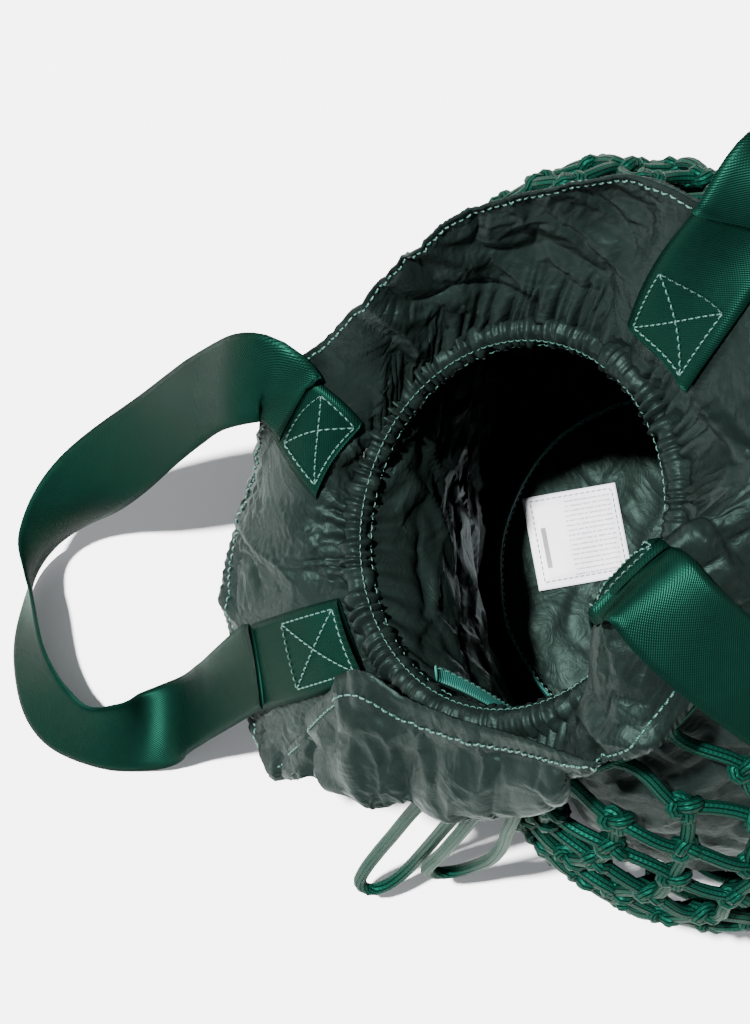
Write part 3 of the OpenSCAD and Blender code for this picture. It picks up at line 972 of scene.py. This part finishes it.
    def care_label(self) -> None:
        """The label: a square of satin that lifts a little between its corners, stitched round."""
        w, h = self.label
        n = 40
        x, y = np.meshgrid(np.linspace(0, w, n), np.linspace(0, h, n), indexing="ij")
        place = np.stack([x, y, 0 * x], -1)
        rise = (0.9 + 0.45 * Ripple(26 * MM, 41)(place)) * MM
        edge = np.minimum.reduce([x, w - x, y, h - y]) / (6 * MM)
        z = 4.7 * MM + rise * np.clip(edge, 0.25, 1)
        c, s = turn(self.label_turn)
        cx, cy = x - w / 2, y - h / 2
        p = np.stack([self.label_at[0] + cx * c - cy * s, self.label_at[1] + cx * s + cy * c, z], -1)
        obj = Sewing().grid(p, np.stack([x, y], -1)).make("label_patch")
        thicken(obj, 0.4 * MM)
        sew(obj, LABEL, "bag", "care_label")
        k = 3
        rim = np.concatenate([p[k:-k, k], p[-k, k:-k], p[k:-k, -k][::-1], p[k, k:-k][::-1]])
        above = np.broadcast_to([0.0, 0, 1], rim.shape)
        run = Sewing().grid(*stitches(rim + [0, 0, 0.3 * MM], above, 2.8 * MM, 0.25 * MM),
                            close_v=True, caps=True)
        sew(run.make("label_stitches"), THREAD, "bag")

    def build(self) -> None:
        """Makes every piece of the body."""
        self.wall()
        self.base()
        self.bindings()
        self.care_label()


# ---------------------------------------------------------------- neck and collar
@dataclass(frozen=True)
class Neck:
    """The gathered channel that the drawcord runs in."""

    tube_r: float = 7 * MM
    around: int = 720
    section: int = 20
    puckers: int = 50

    def build(self) -> None:
        """A ring whose section swells and pinches as it goes round.

        Its radius is tube_r (0.9 + swing sign(w) |w|^0.7), where w = sin(puckers a + wander + twist)
        and swing wanders between 0.06 and 0.28. It is less where the stitch lines run.
        """
        a = np.linspace(0, 360, self.around, endpoint=False)
        c, s = turn(a)
        circle = np.stack([c, s, 0 * c], -1)
        wander = Ripple(0.35, 51)(circle) * 7 + Ripple(0.12, 52)(circle) * 1.6
        f = np.arange(self.section) / self.section * 2 * np.pi
        twist = Ripple(0.2, 53)(circle)[:, None] * 0.8
        ripple = np.sin(np.radians(a)[:, None] * self.puckers + wander[:, None] + 1.3 * np.sin(f + twist))
        sharp = np.sign(ripple) * np.abs(ripple) ** 0.7
        r = self.tube_r * (0.90 + (0.17 + 0.11 * Ripple(0.25, 55)(circle)[:, None]) * sharp
                           + 0.08 * Ripple(0.03, 54)(circle)[:, None])
        r = r * (1 - 0.16 * np.exp(-((np.abs(np.sin(f)) - 0.55) ** 2) * 60))
        out = unit(FORM.neck(a) - np.array(FORM.neck_centre))
        ct, st = turn(FORM.neck_tilt)
        axis = np.array([-st, 0, ct])
        p = FORM.neck(a)[:, None] + r[..., None] * (np.cos(f)[:, None] * out[:, None]
                                                    + np.sin(f)[:, None] * axis)
        uv = np.stack(np.meshgrid(np.linspace(0, 0.7, self.around + 1),
                                  np.linspace(0, 0.044, self.section + 1), indexing="ij"), -1)
        obj = Sewing().grid(p, uv, close_u=True, close_v=True, flip=True).make("neck_ruffle")
        sew(obj, NYLON, "bag", "neck_channel")
        for k, side in enumerate((2.5, 3.6)):
            at = FORM.neck(a) + (self.tube_r * 0.93) * (np.cos(side) * out + np.sin(side) * axis)
            closed = (np.concatenate([v, v[:1]]) for v in (at, -out))
            run = stitches(*closed, 3.4 * MM, 0.26 * MM)
            sew(Sewing().grid(*run, close_v=True, caps=True).make(f"neck_stitches_{k + 1}"), THREAD, "bag")


@dataclass(frozen=True)
class Collar:
    """The wide nylon collar above the channel, folded back over the front and the left."""

    around: int = 460
    up: int = 60
    hem: float = 0.955
    sewn: tuple[tuple[float, float, float, float], ...] = (
        (161, 0.25, 0.92, 17), (208, 0.08, 0.92, 14), (322, 0.14, 0.54, 17), (35, 0.20, 0.97, 17))
    skin: float = 1.0 * MM
    pleats: int = 62
    seed: int = 61

    def firm(self, a: Array, t: Array) -> Array:
        """1 where webbing is sewn on, falling to 0 around it.

        It is the product of two flat-topped bumps, exp(-x^6), across and along each end.
        """
        out = np.zeros(a.shape)
        for at, low, high, half in self.sewn:
            across = (np.mod(a - at + 180, 360) - 180) / (half * 1.15)
            along = (t - (low + high) / 2) / ((high - low) / 2 + 0.08)
            out = np.maximum(out, np.exp(-across**6) * np.exp(-along**6))
        return out

    def surface(self) -> tuple[Array, Array, Array]:
        """The collar before it is draped: angles, places up it, and points.

        Each point moves along the normal by pleats that fade from the neck as (1 - 2.4 t)^1.3,
        long folds that run up and down, and creases.
        """
        a, t = np.meshgrid(np.linspace(0, 360, self.around, endpoint=False),
                           np.linspace(0, 1, self.up), indexing="ij")
        p, n = FORM.collar(a, t), FORM.collar_inward(a, np.clip(t, 0.03, 0.99))
        c, s = turn(a)
        circle = np.stack([c, s, 0 * c], -1)
        wander = Ripple(0.35, 51)(circle) * 7 + Ripple(0.12, 52)(circle) * 1.6
        pleat = np.sin(np.radians(a) * self.pleats + wander) * 2.4 * MM * np.clip(1 - t * 2.4, 0, 1) ** 1.3
        pleat = pleat * (1 - 0.7 * np.exp(-(((a - 262) / 30) ** 4)))
        fold = Ripple(0.5, self.seed)(circle * np.array([1, 1, 1])) * np.sin(np.pi * np.clip(t, 0, 1)) ** 0.7
        crease = (Ripple(70 * MM, self.seed + 1).crease(p) * 4.2
                  - Ripple(44 * MM, self.seed + 2).crease(p) * 1.6) * MM
        hold = np.clip(t * 5, 0, 1) * np.clip((1.15 - t) * 4, 0, 1)
        hem = (t > self.hem) * 0.45 * MM
        move = pleat + (crease + fold * 3.0 * MM - 1.5 * MM) * hold + hem
        p = p + n * (move * (1 - self.firm(a, t)))[..., None]
        return a, t, p

    def build(self) -> None:
        """Makes the collar as one ring of cloth, and its hem stitches."""
        a, t, p = self.surface()
        uv = np.stack(np.meshgrid(np.linspace(0, 0.72, self.around + 1), t[0] * 0.12, indexing="ij"), -1)
        obj = Sewing().grid(p, uv, close_u=True, flip=True).make("nylon_collar")
        held = np.clip(np.maximum(1 - t * 12, 0.10 + 0.25 * (t > 0.93)), 0, 1)
        held = np.maximum(held, self.firm(a, t))
        Drape(grow=0.05, cap=7 * MM, frames=18).run(obj, held.ravel())
        co = np.empty(len(obj.data.vertices) * 3, np.float32)
        obj.data.vertices.foreach_get("co", co)
        done = co.reshape(self.around, self.up, 3).astype(float)
        thicken(obj, self.skin)
        sew(obj, NYLON, "bag", "collar_left", "collar_right")
        row = int(round(self.hem * (self.up - 1)))
        line = np.concatenate([done[:, row], done[:1, row]])
        around = np.roll(done, -1, 0)[:, row] - np.roll(done, 1, 0)[:, row]
        side = np.cross(around, done[:, row + 1] - done[:, row - 1])
        out = -unit(np.concatenate([side, side[:1]]))
        for name, sign in (("inner", 1), ("outer", -1)):
            run = stitches(line + out * sign * (self.skin / 2), out * sign, 3.6 * MM, 0.5 * MM)
            sew(Sewing().grid(*run, close_v=True, caps=True).make(f"hem_stitches_{name}"), THREAD, "bag")


# ---------------------------------------------------------------- handles
class Side(Enum):
    """The two handles."""

    LEFT = "left"
    RIGHT = "right"


@dataclass(frozen=True)
class Handle:
    """One webbing handle, with the two sewn ends that hold it to the collar."""

    side: Side
    route: tuple[tuple[float, ...], ...]
    ends: tuple[tuple[float, ...], ...]
    tuck: float = 0.0
    width: float = 38 * MM
    thick: float = 2.0 * MM
    above: float = 2.4 * MM
    lap: float = 2.2 * MM

    def band(self, line: Array, across: Array, wave: float = 0.0) -> Array:
        """A flat band with rounded edges, carried along a line.

        Its section is x = half width times a power of the cosine, y = half thickness
        times a power of the sine, so that the faces are flat and the selvages round.
        """
        way = unit(np.gradient(line, axis=0))
        w = unit(across - way * (across * way).sum(-1, keepdims=True))
        up = np.cross(way, w)
        x = np.concatenate([np.linspace(-1, 1, 15), np.linspace(1, -1, 15)])
        y = np.concatenate([np.ones(15), -np.ones(15)])
        y = y * np.sqrt(np.clip(1 - np.abs(x) ** 24, 0.02, 1))
        cup = (x**2 - 0.4) * wave
        return (line[:, None] + w[:, None] * (x * self.width / 2)[:, None]
                + up[:, None] * (y * self.thick / 2 + cup)[:, None])

    def map(self, line: Array) -> Array:
        """Metres along and across, the same on both faces."""
        x = np.concatenate([np.linspace(0, 1, 15), np.linspace(1, 0, 15), [0]]) * self.width
        return np.stack(np.broadcast_arrays(lengths(line)[:, None], x), -1)

    def lead(self, end: tuple[float, ...], like: Array) -> Array:
        """Two points where the loop leaves a sewn end, in the plane of the collar.

        Args:
            end: angle, lowest and highest place up the collar, and share that is stitched.
            like: the way across the loop at its own end.

        Returns:
            (2, 6) points and ways across, from the sewn end outwards.
        """
        t = end[2] + np.array([-0.05, 0.01]) - self.tuck
        a = np.full(2, end[0])
        across = unit(FORM.collar(a + 2, t) - FORM.collar(a - 2, t))
        across = across * np.sign((across @ like)[:, None])
        lift = self.above + self.thick / 2 + (self.lap if self.tuck else 0)
        p = FORM.collar(a, t) + FORM.collar_inward(a, t) * lift
        return np.concatenate([p, across], 1)

    def loop(self) -> None:
        """The free webbing, which bends where it meets the sewn ends."""
        data = np.array(self.route)
        data[:, :3] *= MM
        first, last = data[0, :3], data[-1, :3]
        middle, axis = (first + last) / 2, unit(last - first)
        out = data[:, :3].mean(0) - first
        out = unit(out - axis * (out @ axis))
        data = np.concatenate([self.lead(self.ends[0], data[0, 3:]), data,
                               self.lead(self.ends[1], data[-1, 3:])[::-1]])
        data = smooth_line(data, 10)
        line, across = even(data[:, :3], 170, data[:, 3:])
        p = self.band(line, across, 0.9 * MM)
        name = f"handle_{self.side.value}"
        work = Sewing().grid(p, self.map(line), close_v=True, caps=True, flip=True)
        obj = sew(work.make(f"{name}_webbing"), WEBBING, "", name)
        tuple(middle - out * 2 * MM)
        tuple(middle + out * 30 * MM)
        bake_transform(obj)

    def patch(self, number: int, at: float, t0: float, t1: float, sewn: float) -> None:
        """A sewn end on the collar's inner face, with a box and a cross of stitches.

        It follows the collar at its own distance, so it bends as the collar does.

        Args:
            number: 1 or 2.
            at: angle round the neck.
            t0: its lowest place up the collar.
            t1: its highest place.
            sewn: share of its length that the box and cross cover.
        """
        n, m = 40, 15
        up_it = np.linspace(t0, t1, n)
        per = np.linalg.norm(FORM.collar(at + 3, up_it) - FORM.collar(at - 3, up_it), axis=-1) / 6
        x = np.linspace(-1, 1, m)
        t = np.broadcast_to(up_it[:, None], (n, m))
        a = at + x * (self.width / 2 / per)[:, None]
        p, out = FORM.collar(a, t), FORM.collar_inward(a, t)
        edge = np.sqrt(np.clip(1 - np.abs(x) ** 24, 0.02, 1))[:, None]
        low, high = p + out * 1.6 * MM, p + out * (self.above + self.thick * edge)
        ring = np.concatenate([high, low[:, ::-1]], 1)
        work = Sewing().grid(ring, self.map(p[:, m // 2]), close_v=True, caps=True, flip=True)
        name = f"handle_{self.side.value}_end_{number}"
        obj = work.make(name)
        nodes = (f"handle_{self.side.value}_tabs",) if number == 1 else ()
        sew(obj, WEBBING, "bag", *nodes)
        up = p + out * (self.above + self.thick)
        # the box and cross, as places (along, across) on the end from 0 to 1
        corners = np.array([[0.08, 0.12], [0.92, 0.12], [0.92, 0.88], [0.08, 0.88], [0.08, 0.12],
                            [0.92, 0.88], [0.92, 0.12], [0.08, 0.88]])
        run = Sewing()
        for c0, c1 in zip(corners[:-1], corners[1:]):
            s = np.linspace(0, 1, 30)[:, None]
            spot = (c0 * (1 - s) + c1 * s) * np.array([sewn, 1])
            fi, fj = spot[:, 0] * (n - 1), spot[:, 1] * (m - 1)
            i, j = np.minimum(fi.astype(int), n - 2), np.minimum(fj.astype(int), m - 2)
            u, v = (fi - i)[:, None], (fj - j)[:, None]

            def pick(g: Array) -> Array:
                """Values of a grid between its points."""
                return ((g[i, j] * (1 - u) + g[i + 1, j] * u) * (1 - v)
                        + (g[i, j + 1] * (1 - u) + g[i + 1, j + 1] * u) * v)

            run.grid(*stitches(pick(up), pick(out), 3.0 * MM, 0.42 * MM), close_v=True, caps=True)
        sew(run.make(f"{name}_stitches"), THREAD, "bag")

    def build(self) -> None:
        """Makes the loop and both sewn ends."""
        self.loop()
        for number, end in enumerate(self.ends, 1):
            self.patch(number, *end)


LEFT = Handle(Side.LEFT, (
    (-193, 53, 198, 0.36, 0.70, 0.62), (-209, 55, 185, 0.18, 0.84, 0.50), (-226, 54, 152, 0.05, 0.90, 0.42),
    (-252, 46, 104, -0.05, 0.88, 0.46), (-282, 33, 60, -0.20, 0.60, 0.75), (-302, 16, 34, -0.20, 0.25, 0.95),
    (-311, -2, 24, 0.05, 0.05, 1.00), (-313, -24, 22, 0.35, 0.02, 0.93), (-311, -44, 20, 0.52, 0.08, 0.85),
    (-303, -64, 18, 0.60, 0.30, 0.72), (-290, -76, 18, 0.58, 0.42, 0.70), (-273, -79, 15, 0.45, 0.70, 0.52),
    (-255, -76, 12, 0.25, 0.92, 0.30), (-241, -71, 20, 0.15, 0.95, 0.28), (-230, -67, 42, 0.10, 0.94, 0.30),
    (-221, -64, 66, 0.05, 0.92, 0.35)), ((161, 0.25, 0.92, 0.62), (208, 0.08, 0.92, 0.46)), tuck=0.20)
RIGHT = Handle(Side.RIGHT, (
    (-50, -54, 331, 0.85, 0.52, 0.05), (-40, -65, 328, 0.84, 0.54, 0.02), (-22, -79, 318, 0.78, 0.62, 0.00),
    (8, -97, 302, 0.62, 0.75, 0.20), (45, -108, 280, 0.36, 0.80, 0.48), (90, -104, 256, 0.00, 0.72, 0.69),
    (132, -78, 238, -0.42, 0.42, 0.80), (160, -38, 230, -0.62, 0.12, 0.77), (168, 8, 230, -0.66, -0.08, 0.75),
    (152, 54, 240, -0.58, -0.34, 0.74), (118, 92, 262, -0.30, -0.62, 0.72), (76, 112, 294, 0.20, -0.78, 0.60),
    (38, 112, 322, 0.62, -0.68, 0.38), (12, 104, 340, 0.84, -0.53, 0.05), (-2, 95, 345, 0.88, -0.46, -0.05)),
    ((322, 0.14, 0.54, 0.95), (35, 0.20, 0.97, 0.55)))


# ---------------------------------------------------------------- the net
@dataclass(frozen=True)
class Net:
    """The knotted cord net round the body, between a ring at the base and one at the neck."""

    rows: int = 11
    around: int = 22
    cord: float = 6 * MM
    knot: float = 15 * MM
    foot_gap: float = 17 * MM
    neck_gap: float = 6.5 * MM
    belly_gap: float = 13 * MM
    level: float = 0.3
    first: float = 0.12
    last: float = 0.84
    ring: float = 0.94

    def at(self, a: Array, t: Array, low: float) -> tuple[Array, Array]:
        """Places of the net and its outward directions.

        A place is the wall's point plus a gap along its normal, which turns level near the
        foot. The gap goes evenly from foot to neck, plus a half sine in between.
        """
        a, t = np.broadcast_arrays(np.asarray(a, float), np.asarray(t, float))
        n = FORM.wall_normal(a, t)
        down = np.minimum(t / self.level, 1)
        out = unit(np.stack([n[..., 0], n[..., 1], np.where(n[..., 2] < 0, n[..., 2] * down, n[..., 2])], -1))
        gap = self.foot_gap + (self.neck_gap - self.foot_gap) * t + self.belly_gap * np.sin(np.pi * t)
        p = FORM.wall(a, t) + out * gap[..., None]
        p[..., 2] = np.maximum(p[..., 2], low)
        return p, out

    def knots_at(self) -> tuple[Array, Array]:
        """(rows, around, 3) knot places and outward directions."""
        row = np.arange(1, self.rows + 1)[:, None]
        a = (np.arange(self.around) + (row % 2) / 2) * 360 / self.around
        t = self.first + (self.last - self.first) * (row - 1) / (self.rows - 1)
        return self.at(a, t + 0 * a, self.knot / 2 + 0.3 * MM)

    def knots(self) -> None:
        """Every knot as a closed trefoil of cord, pulled tight and turned its own way.

        The curve is (sin s + 2 sin 2s, cos s - 2 cos 2s, -sin 3s) across, up and out.
        """
        at, out = (v.reshape(-1, 3) for v in self.knots_at())
        rng = np.random.default_rng(71)
        s = np.arange(24) / 24 * 2 * np.pi
        curve = np.stack([np.sin(s) + 2 * np.sin(2 * s), np.cos(s) - 2 * np.cos(2 * s), -np.sin(3 * s)], -1)
        curve = curve * np.array([1.95, 1.95, 2.5]) * MM
        side = unit(np.cross(np.array([0.0, 0.0, 1.0]), out))
        up = np.cross(out, side)
        spin = rng.integers(0, 2, len(at)) * np.pi + rng.normal(0, 0.25, len(at))
        c, n = np.cos(spin)[:, None], np.sin(spin)[:, None]
        x, y = side * c + up * n, up * c - side * n
        size = rng.uniform(0.93, 1.05, len(at))[:, None, None]
        path = at[:, None] + size * (curve[:, :1] * x[:, None] + curve[:, 1:2] * y[:, None]
                                     + curve[:, 2:] * out[:, None])
        tilt = path - at[:, None] + out[:, None] * 9 * MM
        p, uv = tube(path, self.cord / 2 * 0.95, 8, tilt, ring=True)
        obj = Sewing().grid(p, uv, close_u=True, close_v=True, flip=True).make("net_knots")
        sew(obj, CORD, "bag", *[f"net_knots_{k + 1}" for k in range(self.rows)])

    def spans(self, a: Array, b: Array, out: Array) -> tuple[Array, Array]:
        """Cords between pairs of places, which bow and sway a little.

        A point is a + (b - a) s + 4 s (1 - s) (out bow + side (lean + twist (2 s - 1))).
        """
        rng = np.random.default_rng(72)
        s = np.linspace(0, 1, 9)[:, None]
        long = np.linalg.norm(b - a, axis=-1)[:, None, None]
        side = unit(np.cross(b - a, out))[:, None]
        bow, lean, twist = (long * rng.normal(m, d, (len(a), 1, 1))
                            for m, d in ((0.03, 0.04), (0, 0.07), (0, 0.09)))
        path = (a[:, None] * (1 - s) + b[:, None] * s
                + 4 * s * (1 - s) * (out[:, None] * bow + side * (lean + twist * (2 * s - 1))))
        return tube(path, self.cord / 2, 8, out[:, None] + 0 * path)

    def cords(self) -> None:
        """The spans from knot to knot and to the two rings, and the rings themselves."""
        at, out = self.knots_at()
        i = np.arange(self.around)
        starts, ends, outs = [], [], []
        for row in range(2, self.rows + 1):
            for step in (0, 1):
                j = (i + step - row % 2) % self.around
                starts.append(at[row - 2, i])
                ends.append(at[row - 1, j])
                outs.append(unit(out[row - 2, i] + out[row - 1, j]))
        low = self.cord / 2 + 0.3 * MM
        for row, t, k in ((0, 0.0, 2 * i + 1), (self.rows - 1, self.ring, 2 * i + 1)):
            place, way = self.at(k * 180 / self.around, np.full(self.around, t), low)
            starts.append(at[row, i])
            ends.append(place)
            outs.append(unit(out[row, i] + way))
        a, b, n = (np.concatenate(v) for v in (starts, ends, outs))
        obj = Sewing().grid(*self.spans(a, b, n), close_v=True, caps=True, flip=True).make("net_spans")
        sew(obj, CORD, "bag", *[f"net_cords_{k + 1}" for k in range(self.rows + 1)])
        for name, t in (("base", 0.0), ("top", self.ring)):
            k = np.linspace(0, 360, 176, endpoint=False)
            path, way = self.at(k, np.full(k.shape, t), low)
            p, uv = tube(path, self.cord / 2, 10, way, ring=True)
            obj = Sewing().grid(p, uv, close_u=True, close_v=True, flip=True).make(f"net_{name}_cord")
            sew(obj, CORD, "bag", f"net_{name}_ring")

    def build(self) -> None:
        """Makes the whole net."""
        self.knots()
        self.cords()


def main() -> None:
    """Builds the bag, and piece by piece."""
    logging.basicConfig(level=logging.INFO, format="%(name)s %(message)s")
    studio = Studio()
    studio.camera()
    Drawcord().build()
    Body().build()
    Neck().build()
    Collar().build()
    for handle in (LEFT, RIGHT):
        handle.build()
    Net().build()
    studio.lights()
    studio.floor()


if __name__ == "__main__":
    main()
